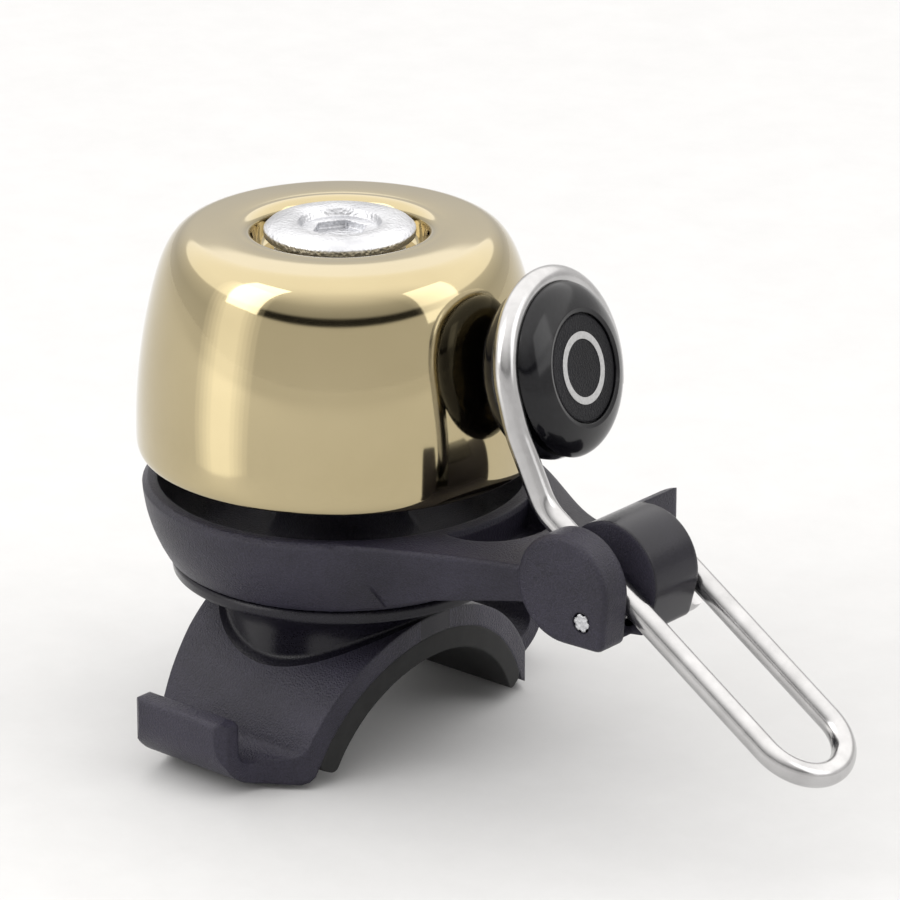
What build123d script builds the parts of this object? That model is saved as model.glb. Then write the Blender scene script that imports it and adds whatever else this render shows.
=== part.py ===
from build123d import *
import math
import os

# Bicycle bell with a thumb loop, on a saddle for a handlebar.
# Millimetres. The origin is on the handlebar's axis, straight under the gong.
# +X runs along the handlebar towards the thumb loop, +Y across it, +Z up the gong's axis.

os.makedirs("parts", exist_ok=True)

# ---- driving dimensions -------------------------------------------------------
BAR_RADIUS = 12.2             # seat of the rubber pad, for bars of 22.2 to 25.4 mm
PAD_THICK = 1.85
PLATE_THICK = 1.8             # arch of the saddle
SEAT_HALF_ANGLE = 63.0        # of the saddle's arch, each side of the crown, degrees
PAD_HALF_ANGLE = 66.5         # the rubber's feet stand out below the arch

RIM_Z = 28.5                  # open rim of the gong
GONG_RADIUS = 17.0
GONG_HEIGHT = 18.8
GONG_WALL = 1.2
DIMPLE_DEPTH = 2.2            # floor under the screw head, below the gong's top
LIP_RADIUS = 7.6

BASE_RIM_Z = RIM_Z - 2.65     # rim of the dish under the gong
BASE_RIM_RADIUS = 16.6
BASE_BOTTOM_Z = RIM_Z - 9.4
BASE_FLOOR = 1.5
BASE_WALL = 1.25
POST_RADIUS = 4.4
ARM_DRAFT = 1.9               # its walls lean in by this much, as the dish's wall does
ARM_DISH_DRAFT = 0.8          # and by this share more where they run into the dish

SCREW_RADIUS = 2.0            # M4
HEAD_RADIUS = 6.25
BORE_RADIUS = 2.2             # clearance hole for the screw
NUT_FLATS = 7.0
NUT_THICK = 2.9
NUT_BOTTOM_Z = 14.15
SWIVEL_GAP = 0.05             # between the dish and the saddle's flange

WIRE_RADIUS = 1.0
LEG_ANGLE = 32.985            # slope of the thumb loop below the horizontal, degrees
LEG_SPACING = 8.18
PIN_RADIUS = 0.75
LEG_OVER_PIN = WIRE_RADIUS + PIN_RADIUS + 0.08   # from the pivot axis up to the legs
LOOP_CENTRE = 17.2            # from the pivot axis to the middle of the loop's end
PIN_X, PIN_Z = 32.25, RIM_Z - 4.97

EAR_X, EAR_Z, EAR_RADIUS = 30.15, RIM_Z - 2.75, 4.55
BARREL_X, BARREL_Z, BARREL_RADIUS = 30.95, RIM_Z - 3.0, 4.6
CORNER_X, CORNER_Z, CORNER_RADIUS = 33.5, RIM_Z - 6.3, 0.9
EAR_FACE_Y = -8.1
SLOT_NEAR_Y, SLOT_FAR_Y = -5.4, -2.8
BARREL_END_Y = 2.8
FIN_END_Y = 7.6
FIN_CUT_X = BARREL_X - 1.1

KNOB_CENTRE = Vector(21.09, 2.65, RIM_Z + 10.66)
KNOB_YAW, KNOB_PITCH = 7.26, 14.8
RING_RADIUS = 7.48
KNOB_RADIUS = 7.25
DISC_RADIUS = 4.4

SPRING_WIRE = 0.22            # radius of the return spring's wire
SPRING_RADIUS = 1.35          # of its coil
SPRING_POCKET = 1.85

# ---- helpers ------------------------------------------------------------------


def revolved(points):
    """Solid of revolution about Z from (radius, height) points joined by straight lines."""
    face = make_face(Polyline(*points, close=True))
    return revolve(Plane.XZ * face, Axis.Z)


def ring(inner, outer, low, high):
    tube = Cylinder(outer, high - low, align=(Align.CENTER, Align.CENTER, Align.MIN))
    tube -= Cylinder(inner, high - low, align=(Align.CENTER, Align.CENTER, Align.MIN))
    return Pos(0, 0, low) * tube


def rod(radius, low, high):
    return Pos(0, 0, low) * Cylinder(radius, high - low, align=(Align.CENTER, Align.CENTER, Align.MIN))


def along_y(sketch, start, end):
    """A sketch drawn in (x, z), extruded from Y = start to Y = end."""
    return extrude(Plane((0, start, 0), x_dir=(1, 0, 0), z_dir=(0, -1, 0)) * sketch, start - end)


def leg_point(s, t, y=0.0):
    """A point by its distance s out along the legs and t above the pivot axis."""
    a = math.radians(LEG_ANGLE)
    return Vector(PIN_X + s * math.cos(a) + t * math.sin(a), y, PIN_Z - s * math.sin(a) + t * math.cos(a))


def leg_xz(s, t):
    p = leg_point(s, t)
    return (p.X, p.Z)


# ---- gong ---------------------------------------------------------------------


def dome_curve(inset):
    """Half outline of the bowl from the rim to the crown, moved in by the wall thickness."""
    top = RIM_Z + GONG_HEIGHT - inset
    waist = (GONG_RADIUS - 1.29 - inset, RIM_Z + 12.74)
    side = Bezier(
        (GONG_RADIUS - inset, RIM_Z + 1.2), (GONG_RADIUS + 0.05 - inset, RIM_Z + 6.97), waist
    )
    shoulder = Bezier(waist, (waist[0] - 0.75, waist[1] + 3.2), (14.1 - inset * 0.7, top), (12.1, top))
    return side, shoulder, top


def make_gong():
    floor_top = RIM_Z + GONG_HEIGHT - DIMPLE_DEPTH
    floor_low = floor_top - GONG_WALL
    with BuildSketch(Plane.XZ) as section:
        with BuildLine():
            side, shoulder, top = dome_curve(0)
            lip_top = (LIP_RADIUS + 0.9, top + 0.12)
            Line(shoulder @ 1, lip_top)
            lip = Bezier(lip_top, (LIP_RADIUS - 0.2, top + 0.2), (LIP_RADIUS - 0.35, top - 0.6))
            dip = Bezier(lip @ 1, (LIP_RADIUS - 0.6, floor_top), (LIP_RADIUS - 1.5, floor_top))
            bore = BORE_RADIUS + 0.5
            Polyline(dip @ 1, (bore, floor_top), (bore, floor_low), (7.0, floor_low))
            under = Bezier((7.0, floor_low), (8.4, floor_low), (8.7, top - GONG_WALL + 0.1))
            side_in, shoulder_in, _ = dome_curve(GONG_WALL)
            Line(under @ 1, shoulder_in @ 1)
            foot_in = (GONG_RADIUS - GONG_WALL - 0.2, RIM_Z)
            Line(side_in @ 0, foot_in)
            foot_out = Bezier(side @ 0, (GONG_RADIUS - 0.02, RIM_Z + 0.1), (GONG_RADIUS - 0.45, RIM_Z))
            Line(foot_in, foot_out @ 1)
        make_face()
    return revolve(section.sketch, Axis.Z)


# ---- screw stack --------------------------------------------------------------

GONG_FLOOR_Z = RIM_Z + GONG_HEIGHT - DIMPLE_DEPTH
HEAD_WASHER_TOP = GONG_FLOOR_Z + 0.5
LOCK_WASHER_LOW = HEAD_WASHER_TOP + SWIVEL_GAP
HEAD_LOW_Z = LOCK_WASHER_LOW + 0.9
HEAD_TOP_Z = RIM_Z + 19.45
POST_TOP_Z = GONG_FLOOR_Z - GONG_WALL - 1.0


def make_gong_screw():
    head = revolved(
        [
            (0, HEAD_LOW_Z),
            (HEAD_RADIUS - 0.25, HEAD_LOW_Z),
            (HEAD_RADIUS, HEAD_LOW_Z + 0.25),
            (HEAD_RADIUS, HEAD_TOP_Z - 0.62),
            (HEAD_RADIUS - 0.3, HEAD_TOP_Z - 0.32),
            (HEAD_RADIUS - 1.4, HEAD_TOP_Z - 0.02),
            (HEAD_RADIUS - 2.4, HEAD_TOP_Z),
            (3.45, HEAD_TOP_Z - 0.12),
            (3.1, HEAD_TOP_Z - 0.7),
            (0, HEAD_TOP_Z - 0.7),
        ]
    )
    shank = rod(SCREW_RADIUS, NUT_BOTTOM_Z - 0.05, HEAD_LOW_Z)
    shank = chamfer(shank.edges().sort_by(Axis.Z)[0], 0.4)
    socket = Pos(0, 0, HEAD_TOP_Z - 1.3) * extrude(RegularPolygon(2.3, 6), 2)
    return head + shank - socket


def make_lock_washer():
    split = Pos(3, 0, LOCK_WASHER_LOW + 0.5) * Rot(25, 0, 0) * Box(4, 0.5, 3)
    return ring(SCREW_RADIUS + 0.1, 3.8, LOCK_WASHER_LOW, HEAD_LOW_Z) - split


def make_head_washer():
    return ring(BORE_RADIUS, 5.4, GONG_FLOOR_Z, HEAD_WASHER_TOP)


def make_gong_grommet():
    """Top-hat bush: its flange carries the gong and its sleeve fills the gong's hole."""
    sleeve_top = GONG_FLOOR_Z - 0.02
    return ring(BORE_RADIUS, 5.2, POST_TOP_Z, POST_TOP_Z + 1.0) + ring(
        BORE_RADIUS, BORE_RADIUS + 0.48, POST_TOP_Z, sleeve_top
    )


# ---- base: dish, arm and lever housing -----------------------------------------


def hinge_profile(hub_x, hub_z, radius, corner_x):
    """Outline in (x, z) of the ear or the barrel: a round hub drawn out to a corner by the pivot."""
    hub = Pos(hub_x, hub_z) * Circle(radius)
    corner = Pos(corner_x, CORNER_Z) * Circle(CORNER_RADIUS)
    return make_hull((hub + corner).edges())


def dish():
    """Shallow dish under the gong, with the post that carries the gong in its middle."""
    floor_z = BASE_BOTTOM_Z + BASE_FLOOR
    out = BASE_RIM_RADIUS
    lip_in, lip_out = out - BASE_WALL, out - 0.45
    with BuildSketch(Plane.XZ) as section:
        with BuildLine():
            rim = Polyline((lip_in, BASE_RIM_Z), (lip_out, BASE_RIM_Z), (out, BASE_RIM_Z - 0.4))
            wall = Bezier(rim @ 1, (out - 0.2, RIM_Z - 6.0), (out - 1.7, RIM_Z - 8.6))
            heel = Bezier(wall @ 1, (out - 2.15, BASE_BOTTOM_Z), (out - 2.7, BASE_BOTTOM_Z))
            bore = Line(heel @ 1, (BORE_RADIUS, BASE_BOTTOM_Z))
            post = Polyline(bore @ 1, (BORE_RADIUS, POST_TOP_Z), (POST_RADIUS, POST_TOP_Z))
            foot = POST_RADIUS + 0.7
            flare = Bezier(post @ 1, (foot, floor_z + 1), (foot, floor_z), (7.0, floor_z))
            floor = Line(flare @ 1, (12.2, floor_z))
            Bezier(floor @ 1, (out - 2.0, floor_z), (lip_in, BASE_RIM_Z))
        make_face()
    return revolve(section.sketch, Axis.Z)


def dish_lean(x):
    """How much more the arm's wall leans where it runs into the dish."""
    return 1 + ARM_DISH_DRAFT * max(0.0, (16.0 - x) / 8.0)


def arm_plan(inset):
    """Outline of the arm from above, its two long sides moved in by the inset."""
    near_side = [(8.0, -14.2), (13.8, -11.0), (18.3, -8.9), (22.0, -7.4), (26.0, -6.2), (30.0, -5.6)]
    far_side = [(30.0, 4.9), (26.0, 5.0), (22.0, 6.1), (18.3, 8.2), (13.8, 11.2), (8.0, 14.2)]
    near = Spline(*[(x, y + inset * dish_lean(x)) for x, y in near_side])
    far = Spline(*[(x, y - inset * dish_lean(x)) for x, y in far_side])
    return make_face([near, Line(near @ 1, far @ 0), far, Line(far @ 1, near @ 0)])


def arm():
    top = Pos(0, 0, BASE_RIM_Z) * arm_plan(0)
    bottom = Pos(0, 0, BASE_BOTTOM_Z) * arm_plan(ARM_DRAFT)
    block = loft([top, bottom], ruled=True)
    side = make_face(
        Polyline(
            (8.0, BASE_RIM_Z), (EAR_X, BASE_RIM_Z), (EAR_X, RIM_Z - 5.6), (25.5, RIM_Z - 5.8),
            (17.0, RIM_Z - 7.1), (12.0, RIM_Z - 8.7), (8.0, BASE_BOTTOM_Z), close=True,
        )
    )
    block &= along_y(side, -15, 15)
    long_edges = block.faces().sort_by(Axis.Z)[-1].edges().filter_by(lambda e: abs(e.center().Y) > 4)
    block = fillet(long_edges, 0.35)
    inside = rod(BASE_RIM_RADIUS - 0.7, BASE_BOTTOM_Z, RIM_Z)
    pocket_plan = Pos(16.4, 0.3) * Ellipse(4.8, 5.4) - Circle(BASE_RIM_RADIUS - 0.1)
    pocket = Pos(0, 0, BASE_RIM_Z - 2.6) * extrude(pocket_plan, 3)
    return block - inside - pocket


SLOT_FLOOR = -0.9             # below the pivot axis, square to the legs


def slot_sketch():
    """Room in the near slot for the wire's leg, over its whole swing."""
    right = 8.0
    dip = right * math.tan(math.radians(22))
    return make_face(
        Polyline(
            leg_xz(-12.0, SLOT_FLOOR), leg_xz(0.5, SLOT_FLOOR), leg_xz(right, SLOT_FLOOR - dip),
            leg_xz(right, 8.0), leg_xz(-12.0, 10.0), close=True,
        )
    )


def y_hole(x, z, radius, start, end):
    plane = Plane((x, start, z), x_dir=(1, 0, 0), z_dir=(0, 1, 0))
    return extrude(plane * Circle(radius), end - start)


def make_base_body():
    ear = along_y(hinge_profile(EAR_X, EAR_Z, EAR_RADIUS, CORNER_X), EAR_FACE_Y, SLOT_NEAR_Y)
    ear = fillet(ear.faces().sort_by(Axis.Y)[0].edges(), 0.5)
    profile = hinge_profile(BARREL_X, BARREL_Z, BARREL_RADIUS, CORNER_X + 0.4)
    barrel = along_y(profile, SLOT_NEAR_Y, BARREL_END_Y)
    barrel = fillet(barrel.faces().sort_by(Axis.Y)[-1].edges(), 0.3)
    fin_side = profile & Pos(FIN_CUT_X - 10, BARREL_Z) * Rectangle(20, 20)
    fin = along_y(fin_side, BARREL_END_Y - 0.6, FIN_END_Y)
    fin = fillet(fin.faces().sort_by(Axis.Y)[-1].edges(), 0.9)
    eye_room = y_hole(PIN_X, PIN_Z, LEG_OVER_PIN + WIRE_RADIUS + 0.3, BARREL_END_Y, FIN_END_Y + 1)
    body = dish() + arm() + ear + barrel + fin - eye_room
    body -= along_y(slot_sketch(), SLOT_NEAR_Y, SLOT_FAR_Y)
    body -= y_hole(PIN_X, PIN_Z, PIN_RADIUS, EAR_FACE_Y - 1, BARREL_END_Y + 1)
    body -= y_hole(PIN_X, PIN_Z, PIN_RADIUS + 0.12, EAR_FACE_Y - 1, EAR_FACE_Y + 0.7)
    body -= y_hole(PIN_X, PIN_Z, SPRING_POCKET, SLOT_FAR_Y - 0.1, SLOT_FAR_Y + 4.3)
    return body


def make_rest_bumper():
    """Rubber block on the slot's floor, which the near leg comes down on."""
    low, top = SLOT_FLOOR, LEG_OVER_PIN - WIRE_RADIUS - 0.5
    block = make_face(
        Polyline(leg_xz(-4.6, low), leg_xz(-1.4, low), leg_xz(-1.4, top), leg_xz(-4.6, top), close=True)
    )
    return along_y(fillet(block.vertices(), 0.25), SLOT_NEAR_Y, SLOT_FAR_Y)


def make_pivot_pin():
    """Steel pin across the hinge, fluted where it grips the ear and headed behind the wire's eye."""
    eye_end = LEG_SPACING / 2 + WIRE_RADIUS + 0.1
    pin = y_hole(PIN_X, PIN_Z, PIN_RADIUS, EAR_FACE_Y + 0.05, eye_end)
    head = y_hole(PIN_X, PIN_Z, 1.35, eye_end, eye_end + 0.7)
    pin += fillet(head.faces().sort_by(Axis.Y)[-1].edges(), 0.3)
    for turn in range(6):
        a = math.radians(60 * turn + 20)
        x, z = PIN_X + 0.82 * math.cos(a), PIN_Z + 0.82 * math.sin(a)
        pin -= y_hole(x, z, 0.2, EAR_FACE_Y - 0.1, EAR_FACE_Y + 0.9)
    return pin


# ---- saddle -------------------------------------------------------------------

ARCH_IN = BAR_RADIUS + PAD_THICK
ARCH_OUT = ARCH_IN + PLATE_THICK
HOOK_REACH = 20.6
HOOK_BOTTOM = 4.5
HOOK_TOP = 11.0
LIP_THICK = 2.0


def saddle_plan():
    """Outline from above: broad over the bar's crown, narrow at the strap hooks."""
    crown = [(10.3 - 0.0095 * y * y, y) for y in (0, 3.5, 6.5, 9.5, 12.5, 13.8)]
    quarter = crown + [(7.0, 14.9), (5.6, 15.9), (5.05, 17.3), (5.05, 19.9), (4.2, HOOK_REACH)]
    half = quarter + [(-x + (0.7 if y < 14 else 0), y) for x, y in reversed(quarter)]
    outline = half + [(x, -y) for x, y in reversed(half[1:-1])]
    return extrude(make_face(Polyline(*outline, close=True)), 40)


def arch_sector(inner, outer, half_angle, corner=0.0):
    """Part of a tube about the X axis, over the crown of the handlebar."""
    reach = 2 * outer
    edge = math.radians(half_angle)
    wedge = make_face(
        Polyline((0, 0), (reach * math.sin(edge), reach * math.cos(edge)), (0, reach * 1.5),
                 (-reach * math.sin(edge), reach * math.cos(edge)), close=True)
    )
    sector = (Circle(outer) - Circle(inner)) & wedge
    if corner:
        sector = fillet(sector.vertices(), corner)
    return extrude(Plane.YZ * sector, 12, both=True)


def hook(side):
    """J-shaped hook for a strap; side is +1 or -1 in Y."""
    edge = math.radians(SEAT_HALF_ANGLE)
    foot_in = (ARCH_IN * math.sin(edge), ARCH_IN * math.cos(edge))
    lip_in = HOOK_REACH - LIP_THICK
    with BuildSketch() as section:
        with BuildLine():
            toe = [(13.2, HOOK_BOTTOM + 0.6), (14.2, HOOK_BOTTOM), (14.7, HOOK_BOTTOM)]
            under = Polyline((13.6, 7.6), foot_in, *toe)
            heel = Bezier(under @ 1, (18.6, HOOK_BOTTOM), (HOOK_REACH, 6.9), (HOOK_REACH, 9.2))
            lip = FilletPolyline(
                heel @ 1, (HOOK_REACH, HOOK_TOP), (lip_in, HOOK_TOP), (lip_in, 8.3), radius=0.6, close=False
            )
            root = Bezier(lip @ 1, (lip_in, 6.6), (16.2, 6.6))
            Polyline(root @ 1, (14.5, 6.9), under @ 0)
        make_face()
    face = section.sketch if side > 0 else mirror(section.sketch, Plane.YZ)
    return extrude(Plane.YZ * face, 12, both=True)


def make_saddle():
    body = arch_sector(ARCH_IN, ARCH_OUT, SEAT_HALF_ANGLE) + hook(1) + hook(-1)
    body &= saddle_plan()
    rounded = Pos(0, (HOOK_BOTTOM + HOOK_TOP) / 2) * RectangleRounded(10.6, HOOK_TOP - HOOK_BOTTOM, 1.3)
    for low, high in ((-HOOK_REACH - 1, -17.4), (17.4, HOOK_REACH + 1)):
        region = Pos(0, (low + high) / 2, 8) * Box(14, high - low, 20)
        body = (body - region) + (body & along_y(rounded, low, high))
    flange_top = BASE_BOTTOM_Z - SWIVEL_GAP
    with BuildSketch(Plane.XZ) as section:
        with BuildLine():
            low = flange_top - 1.0
            top = Polyline((0, flange_top), (14.1, flange_top), (14.3, low + 0.75), (14.2, low))
            neck = Bezier(top @ 1, (11.6, low - 0.2), (10.1, low - 1.0), (9.7, low - 3.2))
            Polyline(neck @ 1, (9.6, 10.0), (0, 10.0), top @ 0)
        make_face()
    boss = revolve(section.sketch, Axis.Z)
    boss -= extrude(Plane.YZ * Circle(ARCH_IN), 20, both=True)
    body += boss
    nut_top = NUT_BOTTOM_Z + NUT_THICK
    nut_plan = RegularPolygon((NUT_FLATS + 0.1) / 2, 6, major_radius=False)
    body -= Pos(0, 0, 8) * extrude(nut_plan, nut_top - 8)
    body -= rod(4.15, nut_top, nut_top + 0.5)
    return body - rod(BORE_RADIUS, 8, 30)


def make_handlebar_pad():
    return arch_sector(BAR_RADIUS, ARCH_IN, PAD_HALF_ANGLE, 0.6) & saddle_plan()


def make_saddle_nut():
    nut = extrude(RegularPolygon(NUT_FLATS / 2, 6, major_radius=False), NUT_THICK)
    high = NUT_THICK
    cone = revolved([(0, 0), (3.45, 0), (4.2, 0.45), (4.2, high - 0.45), (3.45, high), (0, high)])
    return Pos(0, 0, NUT_BOTTOM_Z) * ((nut & cone) - rod(SCREW_RADIUS, 0, NUT_THICK))


def make_nut_washer():
    low = NUT_BOTTOM_Z + NUT_THICK
    return ring(BORE_RADIUS, 4.1, low, low + 0.5)


# ---- lever --------------------------------------------------------------------


def knob_plane():
    """Plane of the wire ring: Z looks away from the gong, X points to the far side."""
    yaw, pitch = math.radians(KNOB_YAW), math.radians(KNOB_PITCH)
    normal = (math.cos(yaw) * math.cos(pitch), math.sin(yaw) * math.cos(pitch), math.sin(pitch))
    return Plane(KNOB_CENTRE, x_dir=(-math.sin(yaw), math.cos(yaw), 0), z_dir=normal)


def wire_path():
    """Centre line of the lever: ring round the hammer, near leg, thumb loop, far leg, eye."""
    plane = knob_plane()
    top_arc = plane * CenterArc((0, 0), RING_RADIUS, 180, -205)
    start = top_arc @ 0
    knee = start + plane.y_dir * -2.85
    near, far = -LEG_SPACING / 2, LEG_SPACING / 2
    end = LOOP_CENTRE + LEG_SPACING / 2
    points = [
        start,
        knee,
        leg_point(-9.5, LEG_OVER_PIN, near),
        leg_point(end, LEG_OVER_PIN, near),
        leg_point(end, LEG_OVER_PIN, far),
        leg_point(0, LEG_OVER_PIN, far),
    ]
    bend = LEG_SPACING / 2 - 0.04
    body = FilletPolyline(*points, radius=[12, 4, bend, bend])
    eye_plane = Plane(leg_point(0, 0, far), x_dir=leg_point(0, 1) - leg_point(0, 0), z_dir=(0, -1, 0))
    eye = eye_plane * CenterArc((0, 0), LEG_OVER_PIN, 0, 270)
    return top_arc, body, eye


def wire_solid(radius):
    solids = []
    for path in wire_path():
        section = Plane(path @ 0, z_dir=path % 0) * Circle(radius)
        solids.append(sweep(section, path=path))
    return solids[0] + solids[1] + solids[2]


def make_lever_wire():
    return wire_solid(WIRE_RADIUS)


def make_return_spring():
    """Torsion spring round the pivot, in the barrel; its end lies under the near leg."""
    turns, pitch, steps, lead = 6, 0.56, 12, 0.42
    points = [(SPRING_RADIUS, -lead, -2.3), (SPRING_RADIUS, -lead, -1.2)]
    points.append((SPRING_RADIUS, 0.06 - lead, -0.4))
    for i in range(1, turns * steps + 1):
        a = 2 * math.pi * i / steps
        points.append((SPRING_RADIUS * math.cos(a), SPRING_RADIUS * math.sin(a), pitch * i / steps))
    path = Spline(*points)
    coil = sweep(Plane(path @ 0, z_dir=path % 0) * Circle(SPRING_WIRE), path=path)
    rise = LEG_OVER_PIN - WIRE_RADIUS - SPRING_WIRE - 0.02
    lift = math.asin(rise / math.hypot(SPRING_RADIUS, lead)) - math.atan2(lead, SPRING_RADIUS)
    angle = math.degrees(lift) - LEG_ANGLE
    seat = Plane((PIN_X, SLOT_FAR_Y + 0.4, PIN_Z), x_dir=(1, 0, 0), z_dir=(0, 1, 0))
    return seat * (Rot(0, 0, -angle) * coil)


def knob_groove():
    return Torus(RING_RADIUS, WIRE_RADIUS + 0.03)


def make_hammer_front():
    with BuildSketch(Plane.XZ) as section:
        with BuildLine():
            face = Bezier((KNOB_RADIUS - 0.1, 0.8), (KNOB_RADIUS - 0.2, 1.9), (DISC_RADIUS + 0.45, 2.6))
            recess = DISC_RADIUS + 0.1
            Polyline(face @ 1, (recess, 2.5), (recess, 2.15), (0, 2.15), (0, 1.5), (2.5, 1.5))
            Polyline((2.5, 1.5), (2.5, 0), (7.0, 0), face @ 0)
        make_face()
    solid = revolve(section.sketch, Axis.Z) - knob_groove()
    return knob_plane() * solid - wire_solid(WIRE_RADIUS + 0.03)


def make_hammer_back():
    with BuildSketch(Plane.XZ) as section:
        with BuildLine():
            rim = Line((7.0, 0), (KNOB_RADIUS - 0.05, -0.9))
            flank = Bezier(rim @ 1, (KNOB_RADIUS, -2.7), (5.4, -3.7))
            tip = Bezier(flank @ 1, (3.2, -4.2), (0, -4.2))
            Polyline(tip @ 1, (0, 1.45), (2.5, 1.45), (2.5, 0), (7.0, 0))
        make_face()
    solid = revolve(section.sketch, Axis.Z) - knob_groove()
    return knob_plane() * solid - wire_solid(WIRE_RADIUS + 0.03)


def make_hammer_disc():
    disc = rod(DISC_RADIUS, 2.15, 2.4)
    return knob_plane() * chamfer(disc.edges().sort_by(Axis.Z)[-1], 0.1)


# ---- output -------------------------------------------------------------------

PARTS = {
    "gong": make_gong,
    "gong_screw": make_gong_screw,
    "lock_washer": make_lock_washer,
    "head_washer": make_head_washer,
    "gong_grommet": make_gong_grommet,
    "base_body": make_base_body,
    "rest_bumper": make_rest_bumper,
    "saddle": make_saddle,
    "handlebar_pad": make_handlebar_pad,
    "saddle_nut": make_saddle_nut,
    "nut_washer": make_nut_washer,
    "pivot_pin": make_pivot_pin,
    "lever_wire": make_lever_wire,
    "return_spring": make_return_spring,
    "hammer_front": make_hammer_front,
    "hammer_back": make_hammer_back,
    "hammer_disc": make_hammer_disc,
}

for name, make in PARTS.items():
    solid = make()
    solid.label = name
    export_step(solid, f"parts/{name}.step")
    print(name, len(solid.solids()), round(solid.volume, 2))
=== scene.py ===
import math

import bmesh
import bpy
from mathutils import Matrix, Vector


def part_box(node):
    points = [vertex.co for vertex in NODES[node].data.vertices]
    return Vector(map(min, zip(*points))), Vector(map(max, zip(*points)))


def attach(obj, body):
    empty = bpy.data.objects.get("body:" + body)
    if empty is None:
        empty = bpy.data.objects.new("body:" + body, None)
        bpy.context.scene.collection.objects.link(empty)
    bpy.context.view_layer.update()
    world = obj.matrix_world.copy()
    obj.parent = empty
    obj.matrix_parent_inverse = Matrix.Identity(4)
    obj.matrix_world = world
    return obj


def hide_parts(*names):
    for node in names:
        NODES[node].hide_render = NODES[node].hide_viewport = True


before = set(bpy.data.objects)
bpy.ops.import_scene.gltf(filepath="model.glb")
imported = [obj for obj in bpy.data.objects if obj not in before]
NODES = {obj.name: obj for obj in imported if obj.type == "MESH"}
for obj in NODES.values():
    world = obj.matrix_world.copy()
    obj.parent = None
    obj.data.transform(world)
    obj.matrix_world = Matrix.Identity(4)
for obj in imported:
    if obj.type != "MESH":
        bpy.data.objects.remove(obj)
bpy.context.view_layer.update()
MM = 0.001

# Sizes in mm, angles in degrees. Azimuth 0 is the near side of the handlebar, 90 the thumb loop's end.
RIM = 28.5    # height of the gong's rim above the handlebar's axis
GONG_RADIUS, GONG_HEIGHT, GONG_WALL = 17.0, 18.8, 1.2
KNOB_CENTRE = (21.09, 2.65, RIM + 10.66)    # middle of the hammer
KNOB_YAW, KNOB_PITCH = 7.26, 14.8    # the way its face looks
BARREL_BOX = ((27.5, 60), (-2.79, 2.9), (0, 40))    # holds the polished stretch of the base
NECK_RADIUS, NECK_HEIGHT = 10.4, 17.0    # the saddle is polished within this radius, or above this height
CAMERA_AZIMUTH, CAMERA_ELEVATION = 40.4, 20.95
CAMERA_PLACE = (279.39, -314.38, 160.28 + RIM)


def direction(azimuth, elevation):
    """Unit vector away from the bell."""
    a, e = math.radians(azimuth), math.radians(elevation)
    return Vector((math.sin(a) * math.cos(e), -math.cos(a) * math.cos(e), math.sin(e)))


# ---- node helpers --------------------------------------------------------------


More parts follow.
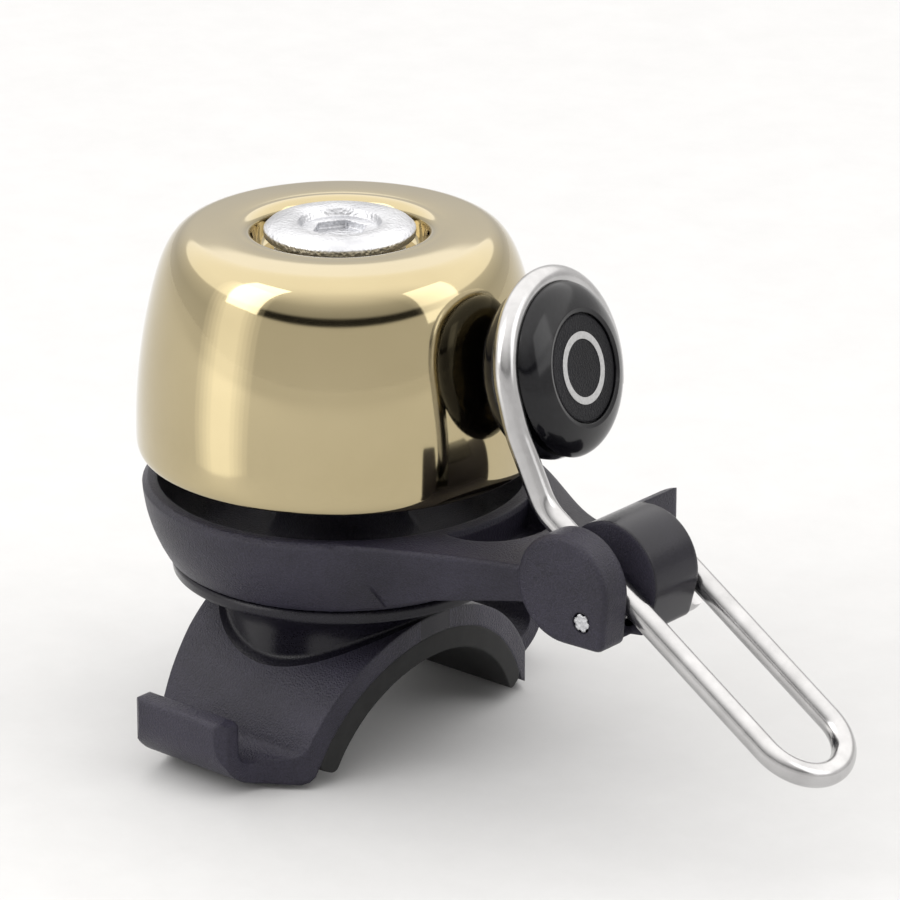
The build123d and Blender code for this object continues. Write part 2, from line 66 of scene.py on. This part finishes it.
class Mat:
    """A material under construction: object coordinates, noises, ramps and a principled shader."""

    def __init__(self, name):
        self.material = bpy.data.materials.new(name)
        self.material.use_nodes = True
        self.tree = self.material.node_tree
        self.tree.nodes.clear()
        self.out = self.tree.nodes.new("ShaderNodeOutputMaterial")
        self.shader = self.tree.nodes.new("ShaderNodeBsdfPrincipled")
        self.link(self.shader.outputs["BSDF"], self.out.inputs["Surface"])
        self.coords = self.tree.nodes.new("ShaderNodeTexCoord").outputs["Object"]

    def link(self, a, b):
        self.tree.links.new(a, b)

    def node(self, kind, **values):
        n = self.tree.nodes.new(kind)
        for key, value in values.items():
            setattr(n, key, value)
        return n

    def set(self, **values):
        for key, value in values.items():
            self.shader.inputs[key.replace("_", " ")].default_value = value

    def mapped(self, scale):
        m = self.node("ShaderNodeMapping")
        m.inputs["Scale"].default_value = scale
        self.link(self.coords, m.inputs["Vector"])
        return m.outputs["Vector"]

    def noise(self, scale, detail=4.0, rough=0.5, vector=None):
        n = self.node("ShaderNodeTexNoise")
        n.inputs["Scale"].default_value = scale
        n.inputs["Detail"].default_value = detail
        n.inputs["Roughness"].default_value = rough
        self.link(vector or self.coords, n.inputs["Vector"])
        return n.outputs["Fac"]

    def spots(self, scale):
        n = self.node("ShaderNodeTexVoronoi")
        n.inputs["Scale"].default_value = scale
        self.link(self.coords, n.inputs["Vector"])
        return n.outputs["Distance"]

    def ramp(self, fac, *stops):
        r = self.node("ShaderNodeValToRGB")
        while len(r.color_ramp.elements) < len(stops):
            r.color_ramp.elements.new(0.5)
        for element, (place, colour) in zip(r.color_ramp.elements, stops):
            element.position = place
            element.color = colour if len(colour) == 4 else (*colour, 1)
        self.link(fac, r.inputs["Fac"])
        return r.outputs["Color"]

    def math(self, operation, a, b):
        n = self.node("ShaderNodeMath", operation=operation)
        for socket, value in zip(n.inputs, (a, b)):
            if isinstance(value, (int, float)):
                socket.default_value = value
            else:
                self.link(value, socket)
        return n.outputs[0]

    def scaled(self, fac, low, high):
        """0 to 1 becomes low to high."""
        n = self.node("ShaderNodeMapRange")
        n.inputs["To Min"].default_value = low
        n.inputs["To Max"].default_value = high
        self.link(fac, n.inputs["Value"])
        return n.outputs["Result"]

    def axes(self):
        """X, Y and Z in m."""
        split = self.node("ShaderNodeSeparateXYZ")
        self.link(self.coords, split.inputs[0])
        return split.outputs

    def within(self, box):
        """1 inside a box given in mm, 0 outside it."""
        inside = 1.0
        for axis, (start, end) in zip(self.axes(), box):
            above = self.math("GREATER_THAN", axis, start * MM)
            below = self.math("LESS_THAN", axis, end * MM)
            inside = self.math("MULTIPLY", inside, self.math("MULTIPLY", above, below))
        return inside

    def neck(self, radius, height):
        """1 close to the Z axis or above a height, both in mm, 0 elsewhere."""
        x, y, z = self.axes()
        square = self.math("ADD", self.math("MULTIPLY", x, x), self.math("MULTIPLY", y, y))
        close = self.math("LESS_THAN", square, (radius * MM) ** 2)
        return self.math("MAXIMUM", close, self.math("GREATER_THAN", z, height * MM))

    def bump(self, height, strength, distance, normal=None):
        """Normal of a relief; distance in m."""
        n = self.node("ShaderNodeBump")
        n.inputs["Strength"].default_value = strength
        n.inputs["Distance"].default_value = distance
        self.link(height, n.inputs["Height"])
        if normal:
            self.link(normal, n.inputs["Normal"])
        return n.outputs["Normal"]

    def rounded(self, radius):
        """Normal that rounds the edges; radius in m."""
        n = self.node("ShaderNodeBevel", samples=6)
        n.inputs["Radius"].default_value = radius
        return n.outputs["Normal"]

    def finish(self, colour, rough, normal):
        self.link(colour, self.shader.inputs["Base Color"])
        self.link(rough, self.shader.inputs["Roughness"])
        self.link(normal, self.shader.inputs["Normal"])
        return self.material


def grey(v):
    return (v, v, v)


# ---- materials ----------------------------------------------------------------


def brass():
    """Polished, lacquered brass with faint lathe rings and a little unevenness."""
    m = Mat("polished_brass")
    m.set(Metallic=1.0, Coat_Weight=0.35, Coat_Roughness=0.04)
    cloud = m.noise(90, 3)
    rings = m.noise(1, 2, 0.6, m.mapped((25, 25, 5200)))
    smear = m.noise(420, 5, 0.6)
    colour = m.ramp(cloud, (0.3, (0.445, 0.371, 0.213)), (0.7, (0.483, 0.406, 0.241)))
    rough = m.math("ADD", m.scaled(smear, 0.03, 0.08), m.scaled(rings, 0.0, 0.03))
    normal = m.bump(rings, 0.012, 0.00003, m.bump(cloud, 0.03, 0.00025))
    return m.finish(colour, rough, normal)


def housing(name, base, roughness, specular, polished=None):
    """Glass-filled nylon from a spark-eroded mould: a fine grain, flow streaks and soft edges.

    polished makes the mask of a stretch that comes from a polished part of the mould.
    """
    m = Mat(name)
    m.set(Specular_IOR_Level=specular)
    grain = m.noise(6500, 4, 0.6)
    pits = m.spots(5200)
    flow = m.noise(1, 4, 0.6, m.mapped((60, 160, 90)))
    cloud = m.noise(160, 3)
    r, g, b = base
    low, high = (r * 0.6, g * 0.6, b * 0.6), (r * 1.5, g * 1.5, b * 1.5)
    mottle = m.math("ADD", m.math("MULTIPLY", flow, 0.45), m.math("MULTIPLY", grain, 0.55))
    colour = m.ramp(mottle, (0.38, low), (0.62, high))
    unevenness = m.scaled(cloud, roughness - 0.06, roughness + 0.06)
    rough = m.math("ADD", unevenness, m.scaled(grain, -0.04, 0.04))
    height = m.math("ADD", m.math("MULTIPLY", pits, 0.4), grain)
    if polished:
        inside = polished(m)
        rough = m.math("SUBTRACT", rough, m.math("MULTIPLY", inside, 0.16))
        height = m.math("MULTIPLY", height, m.scaled(inside, 1.0, 0.12))
        shade = m.node("ShaderNodeMix", data_type="RGBA", blend_type="MULTIPLY")
        m.link(inside, shade.inputs["Factor"])
        m.link(colour, shade.inputs["A"])
        shade.inputs["B"].default_value = (0.35, 0.35, 0.35, 1)
        colour = shade.outputs["Result"]
    return m.finish(colour, rough, m.bump(height, 0.9, 0.00010, m.rounded(0.00045)))


def rubber():
    """Moulded rubber with fine ribs and a dusty bloom."""
    m = Mat("matte_rubber")
    m.set(Specular_IOR_Level=0.3)
    dust = m.noise(700, 6, 0.7)
    ribs = m.node("ShaderNodeTexWave", wave_type="BANDS", bands_direction="X")
    ribs.inputs["Scale"].default_value = 160
    ribs.inputs["Distortion"].default_value = 0.3
    m.link(m.coords, ribs.inputs["Vector"])
    colour = m.ramp(dust, (0.3, grey(0.012)), (0.75, grey(0.026)))
    bloom = m.bump(dust, 0.3, 0.00005, m.rounded(0.0003))
    normal = m.bump(ribs.outputs["Fac"], 0.12, 0.0001, bloom)
    return m.finish(colour, m.scaled(dust, 0.62, 0.85), normal)


def steel_wire():
    """Nickel-plated wire with drawn lines and faint nicks."""
    m = Mat("nickel_wire")
    m.set(Metallic=1.0)
    drawn = m.noise(1, 3, 0.6, m.mapped((900, 4200, 900)))
    nicks = m.spots(520)
    stain = m.noise(260, 5, 0.6)
    colour = m.ramp(stain, (0.25, (0.42, 0.415, 0.415)), (0.75, (0.60, 0.595, 0.595)))
    rough = m.math("ADD", m.scaled(stain, 0.12, 0.24), m.scaled(drawn, 0.0, 0.06))
    normal = m.bump(nicks, 0.1, 0.00006, m.bump(drawn, 0.12, 0.00003))
    return m.finish(colour, rough, normal)


def zinc(name, roughness):
    """Zinc-plated steel with a crystalline, slightly pitted surface."""
    m = Mat(name)
    m.set(Metallic=1.0)
    crystals = m.spots(3600)
    grain = m.noise(2400, 6, 0.7)
    cloud = m.noise(300, 4)
    colour = m.ramp(cloud, (0.3, (0.48, 0.485, 0.505)), (0.7, (0.74, 0.745, 0.765)))
    unevenness = m.scaled(grain, roughness - 0.08, roughness + 0.1)
    rough = m.math("ADD", unevenness, m.scaled(crystals, 0.0, 0.06))
    normal = m.bump(crystals, 0.35, 0.00012, m.bump(grain, 0.4, 0.00006, m.rounded(0.0002)))
    return m.finish(colour, rough, normal)


def gloss_black():
    """Injection-moulded gloss black with faint orange peel and dust."""
    m = Mat("gloss_black")
    m.set(Specular_IOR_Level=0.30, Coat_Weight=0.10, Coat_Roughness=0.05)
    peel = m.noise(420, 2)
    dust = m.noise(2800, 5, 0.7)
    colour = m.ramp(dust, (0.4, (0.003, 0.003, 0.004)), (0.72, (0.008, 0.008, 0.010)))
    normal = m.bump(peel, 0.05, 0.0001, m.rounded(0.00015))
    return m.finish(colour, m.scaled(peel, 0.10, 0.17), normal)


def nylon():
    """Natural nylon, a little translucent."""
    m = Mat("natural_nylon")
    m.set(Subsurface_Weight=0.1, Subsurface_Radius=(0.001, 0.0009, 0.0007))
    cloud = m.noise(240, 4)
    colour = m.ramp(cloud, (0.3, (0.60, 0.58, 0.50)), (0.7, (0.70, 0.68, 0.61)))
    return m.finish(colour, m.scaled(cloud, 0.42, 0.55), m.bump(m.noise(1800, 4), 0.15, 0.00004))


def print_silver():
    """Silver printing ink."""
    m = Mat("printed_silver")
    m.set(Metallic=0.5)
    grain = m.noise(4200, 5, 0.7)
    colour = m.ramp(grain, (0.3, grey(0.40)), (0.7, grey(0.55)))
    return m.finish(colour, m.scaled(grain, 0.35, 0.5), m.bump(grain, 0.2, 0.00002))


def paper():
    """Pale backdrop paper."""
    m = Mat("studio_paper")
    m.set(Specular_IOR_Level=0.1)
    fibre = m.noise(160, 6, 0.7)
    colour = m.ramp(fibre, (0.2, grey(0.60)), (0.8, grey(0.64)))
    return m.finish(colour, m.scaled(fibre, 0.8, 0.95), m.bump(fibre, 0.05, 0.0002))


# ---- mesh helpers --------------------------------------------------------------


def smooth_by_angle(obj, degrees):
    """Welds the node's facets for display and shades across edges flatter than the angle."""
    group = bpy.data.node_groups.new(obj.name + "_smooth", "GeometryNodeTree")
    group.interface.new_socket("Geometry", in_out="INPUT", socket_type="NodeSocketGeometry")
    group.interface.new_socket("Geometry", in_out="OUTPUT", socket_type="NodeSocketGeometry")
    source, sink = group.nodes.new("NodeGroupInput"), group.nodes.new("NodeGroupOutput")
    weld = group.nodes.new("GeometryNodeMergeByDistance")
    weld.inputs["Distance"].default_value = 2e-6
    angle = group.nodes.new("GeometryNodeInputMeshEdgeAngle")
    flat = group.nodes.new("FunctionNodeCompare")
    flat.data_type, flat.operation = "FLOAT", "LESS_THAN"
    flat.inputs["B"].default_value = math.radians(degrees)
    faces = group.nodes.new("GeometryNodeSetShadeSmooth")
    edges = group.nodes.new("GeometryNodeSetShadeSmooth")
    faces.domain, edges.domain = "FACE", "EDGE"
    link = group.links.new
    link(source.outputs["Geometry"], weld.inputs["Geometry"])
    link(weld.outputs["Geometry"], faces.inputs["Geometry"])
    link(faces.outputs["Geometry"], edges.inputs["Geometry"])
    link(angle.outputs["Unsigned Angle"], flat.inputs["A"])
    link(flat.outputs["Result"], edges.inputs["Shade Smooth"])
    link(edges.outputs["Geometry"], sink.inputs["Geometry"])
    obj.modifiers.new("smooth", "NODES").node_group = group
    if "custom_normal" in obj.data.attributes:
        obj.data.attributes.remove(obj.data.attributes["custom_normal"])


def made(name, bm, material):
    """Object of a finished bmesh, smooth shaded."""
    mesh = bpy.data.meshes.new(name)
    bm.to_mesh(mesh)
    bm.free()
    for polygon in mesh.polygons:
        polygon.use_smooth = True
    mesh.materials.append(material)
    obj = bpy.data.objects.new(name, mesh)
    bpy.context.scene.collection.objects.link(obj)
    return obj


def bezier(points, steps):
    """Points along a Bezier curve of any order, its end left out."""
    out = []
    for i in range(steps):
        row = [Vector(p) for p in points]
        while len(row) > 1:
            row = [a.lerp(b, i / steps) for a, b in zip(row, row[1:])]
        out.append(row[0])
    return out


def lathe(name, profile, segments, material):
    """Closed profile of (radius, height) in mm, turned about Z."""
    bm = bmesh.new()
    rings = []
    for k in range(segments):
        a = 2 * math.pi * k / segments
        x, y = math.cos(a) * MM, math.sin(a) * MM
        rings.append([bm.verts.new((r * x, r * y, z * MM)) for r, z in profile])
    for k in range(segments):
        one, two = rings[k], rings[(k + 1) % segments]
        for i in range(len(profile)):
            j = (i + 1) % len(profile)
            bm.faces.new((one[i], two[i], two[j], one[j]))
    bmesh.ops.recalc_face_normals(bm, faces=bm.faces)
    return made(name, bm, material)


def arc(centre, radius, start, end, steps):
    """Points along an arc in the (radius, height) plane, both ends included."""
    out = []
    for i in range(steps + 1):
        a = math.radians(start + (end - start) * i / steps)
        out.append((centre[0] + radius * math.cos(a), centre[1] + radius * math.sin(a)))
    return out


# ---- gong skin -----------------------------------------------------------------


def gong_profile():
    """The CAD gong's section to within 0.07 mm, drawn finely.

    Its top has a faint crown, chosen because it gives the gong a highlight there.
    """
    top = RIM + GONG_HEIGHT
    waist, shoulder = (GONG_RADIUS - 1.29, RIM + 12.74), (12.1, top)
    lip, throat, floor = (8.5, top + 0.12), (7.25, top - 0.6), (6.1, top - 2.2)
    outer = bezier([(GONG_RADIUS, RIM + 1.2), (GONG_RADIUS + 0.05, RIM + 6.97), waist], 40)
    outer += bezier([waist, (waist[0] - 0.75, waist[1] + 3.2), (14.1, top - 0.16), shoulder], 40)
    outer += bezier([shoulder, (10.2, top + 0.15), (9.4, top + 0.17), lip], 14)
    outer += bezier([lip, (7.4, top + 0.2), throat], 14)
    outer += bezier([throat, (7.0, floor[1]), floor], 14)

    rim_in, ceiling, under = GONG_RADIUS - GONG_WALL, top - GONG_WALL, floor[1] - GONG_WALL
    waist_in, shoulder_in = (waist[0] - GONG_WALL, waist[1]), (12.1, ceiling)
    ledge = (8.7, ceiling + 0.1)
    inner = [floor, (2.7, floor[1]), (2.7, under), (7.0, under)]
    inner += bezier([(7.0, under), (8.4, under), ledge], 8)[1:]
    bend = bezier([waist_in, (waist_in[0] - 0.75, waist_in[1] + 3.2), (13.26, ceiling), shoulder_in], 12)
    inner += [ledge, shoulder_in] + bend[::-1]
    inner += bezier([(rim_in, RIM + 1.2), (rim_in + 0.05, RIM + 6.97), waist_in], 12)[::-1]
    inner += [(rim_in - 0.2, RIM)]
    foot = bezier([(16.55, RIM), (16.98, RIM + 0.1), (GONG_RADIUS, RIM + 1.2)], 10)
    return [(p[0], p[1]) for p in inner + foot + outer]


gong = lathe("gong_skin", gong_profile(), segments=288, material=brass())
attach(gong, "bell_head")
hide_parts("gong")


# ---- mark on the hammer's disc ---------------------------------------------------


def knob_frame():
    """Placement with its Z out of the hammer's face and its X towards the far side."""
    yaw, pitch = math.radians(KNOB_YAW), math.radians(KNOB_PITCH)
    out = Vector((math.cos(yaw) * math.cos(pitch), math.sin(yaw) * math.cos(pitch), math.sin(pitch)))
    across = Vector((-math.sin(yaw), math.cos(yaw), 0))
    place = Matrix((across, out.cross(across), out)).transposed().to_4x4()
    place.translation = Vector(KNOB_CENTRE) * MM
    return place


def ring_profile(inner, outer, low, high):
    """Section of a flat ring with round edges."""
    edge = (high - low) / 2
    mid = (low + high) / 2
    return arc((outer - edge, mid), edge, -90, 90, 6) + arc((inner + edge, mid), edge, 90, 270, 6)


ring = ring_profile(inner=2.35, outer=2.95, low=2.38, high=2.44)
mark = lathe("disc_mark", ring, segments=96, material=print_silver())
mark.data.transform(knob_frame())
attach(mark, "lever")


# ---- finishes on the CAD nodes ---------------------------------------------------

CHARCOAL = {"base": (0.0225, 0.0205, 0.0330), "roughness": 0.37, "specular": 0.32}
saddle_house = housing("charcoal_nylon", **CHARCOAL, polished=lambda m: m.neck(NECK_RADIUS, NECK_HEIGHT))
lever_house = housing("charcoal_nylon_base", **CHARCOAL, polished=lambda m: m.within(BARREL_BOX))
black = gloss_black()
satin = housing("satin_black", base=(0.004, 0.004, 0.006), roughness=0.34, specular=0.16)
plated = zinc("zinc_plate", roughness=0.3)
wire = steel_wire()
lining = rubber()
FINISH = {
    "gong": gong.data.materials[0],
    "gong_screw": plated,
    "saddle_nut": plated,
    "lock_washer": plated,
    "head_washer": plated,
    "nut_washer": plated,
    "pivot_pin": zinc("bright_pin", roughness=0.24),
    "return_spring": wire,
    "lever_wire": wire,
    "gong_grommet": nylon(),
    "base_body": lever_house,
    "saddle": saddle_house,
    "rest_bumper": lining,
    "handlebar_pad": lining,
    "hammer_front": black,
    "hammer_back": black,
    "hammer_disc": satin,
}
SMOOTH_ANGLE, SMOOTH_ANGLE_WIRE = 32, 60
for name, node in NODES.items():
    node.data.materials.clear()
    node.data.materials.append(FINISH[name])
    smooth_by_angle(node, SMOOTH_ANGLE_WIRE if FINISH[name] is wire else SMOOTH_ANGLE)


# ---- studio ----------------------------------------------------------------------

low = min(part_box(n)[0].z for n in NODES)
FLOOR_RINGS = ((0.02, 0), (0.3, 0), (1.0, 0), (1.8, 0), (2.4, 0.02), (2.6, 0.06))    # radius and rise, m
FLOOR_GAP = 0.0005    # under the bell, m
FLOOR_SIDES = 96


def studio_floor():
    """Disc of paper just under the bell, its edge turned up."""
    bm = bmesh.new()
    turn = [2 * math.pi * k / FLOOR_SIDES for k in range(FLOOR_SIDES)]
    rings = []
    for r, rise in FLOOR_RINGS:
        z = low - FLOOR_GAP + rise
        rings.append([bm.verts.new((r * math.cos(a), r * math.sin(a), z)) for a in turn])
    bm.faces.new(rings[0])
    for one, two in zip(rings, rings[1:]):
        for k in range(FLOOR_SIDES):
            j = (k + 1) % FLOOR_SIDES
            bm.faces.new((one[k], two[k], two[j], one[j]))
    bmesh.ops.recalc_face_normals(bm, faces=bm.faces)
    floor = made("studio_floor", bm, paper())


studio_floor()


LIGHT_TARGET = Vector((0.01, 0, 0.03))    # m


def softbox(name, azimuth, elevation, distance, size, watts, tint=(1, 1, 1)):
    """Rectangular area light aimed at the bell; distance and size in m."""
    away = direction(azimuth, elevation)
    lamp = bpy.data.lights.new(name, "AREA")
    lamp.shape, lamp.size, lamp.size_y = "RECTANGLE", *size
    lamp.energy, lamp.color = watts, tint
    obj = bpy.data.objects.new(name, lamp)
    obj.location = LIGHT_TARGET + away * distance
    obj.rotation_euler = (-away).to_track_quat("-Z", "Y").to_euler()
    obj.visible_camera = False
    bpy.context.scene.collection.objects.link(obj)


softbox("key_left", azimuth=-25, elevation=38, distance=0.7, size=(0.30, 0.5), watts=1.0)
softbox("fill_right", azimuth=110, elevation=30, distance=0.8, size=(0.4, 0.5), watts=0.8)
# A strip with soft edges: nested lamps, each a little further off, so that none hides another.
STRIP = {"azimuth": -28.5, "elevation": 14, "tint": (1, 0.98, 0.93)}
for width in (0.018, 0.026, 0.034, 0.042, 0.052):
    distance, watts = 0.083 + width * 0.08, width * 0.058
    softbox("strip_%d" % (width * 1000), distance=distance, size=(width, 0.11), watts=watts, **STRIP)


def studio_world():
    """A tent by direction.

    On the camera's side a dark seam lies low down, and above it the tent brightens to overhead.
    The far side has no seam and steps up to a bright ceiling.
    """
    world = bpy.data.worlds.new("tent")
    bpy.context.scene.world = world
    world.use_nodes = True
    tree = world.node_tree
    tree.nodes.clear()
    link = tree.links.new
    out = tree.nodes.new("ShaderNodeOutputWorld")
    back = tree.nodes.new("ShaderNodeBackground")
    coords = tree.nodes.new("ShaderNodeTexCoord")
    split = tree.nodes.new("ShaderNodeSeparateXYZ")
    front = tree.nodes.new("ShaderNodeVectorMath")
    front.operation = "DOT_PRODUCT"
    front.inputs[1].default_value = direction(CAMERA_AZIMUTH, 0)
    link(coords.outputs["Generated"], split.inputs[0])
    link(coords.outputs["Generated"], front.inputs[0])

    def by_height(stops):
        """Brightness by the sine of the elevation."""
        ramp = tree.nodes.new("ShaderNodeValToRGB")
        while len(ramp.color_ramp.elements) < len(stops):
            ramp.color_ramp.elements.new(0.5)
        for element, (place, value) in zip(ramp.color_ramp.elements, stops):
            element.position = place
            element.color = (value, value * 0.985, value * 0.97, 1)
        link(split.outputs["Z"], ramp.inputs["Fac"])
        return ramp.outputs["Color"]

    seam = ((0.285, 0.33), (0.31, 0.01), (0.375, 0.01), (0.41, 0.21))
    before = by_height(((0.0, 0.34), *seam, (0.55, 0.29), (0.70, 0.46), (0.92, 0.67)))
    behind = by_height(((0.0, 0.32), (0.15, 0.29), (0.30, 0.36), (0.365, 0.40), (0.39, 0.68), (0.60, 0.72)))
    # The far side fades into the camera's side by the cosine of the angle to the camera's azimuth.
    turn = tree.nodes.new("ShaderNodeMapRange")
    turn.inputs["From Min"].default_value, turn.inputs["From Max"].default_value = 0.1, 0.6
    link(front.outputs["Value"], turn.inputs["Value"])
    mix = tree.nodes.new("ShaderNodeMix")
    mix.data_type = "RGBA"
    link(turn.outputs["Result"], mix.inputs["Factor"])
    link(behind, mix.inputs["A"])
    link(before, mix.inputs["B"])
    link(mix.outputs["Result"], back.inputs["Color"])
    link(back.outputs["Background"], out.inputs["Surface"])
    back.inputs["Strength"].default_value = 2.5


studio_world()


# ---- camera ----------------------------------------------------------------------


def camera():
    """Long lens at the photo's angle."""
    data = bpy.data.cameras.new("camera")
    data.lens, data.sensor_width, data.sensor_fit = 216.74, 36, "HORIZONTAL"
    data.clip_start, data.clip_end = 0.01, 10
    obj = bpy.data.objects.new("camera", data)
    away = direction(CAMERA_AZIMUTH, CAMERA_ELEVATION)
    right = direction(CAMERA_AZIMUTH + 90, 0)
    place = Matrix((right, away.cross(right), away)).transposed().to_4x4()
    place.translation = Vector(CAMERA_PLACE) * MM
    obj.matrix_world = place
    bpy.context.scene.collection.objects.link(obj)
    bpy.context.scene.camera = obj


camera()
bpy.context.scene.view_settings.view_transform = "Standard"
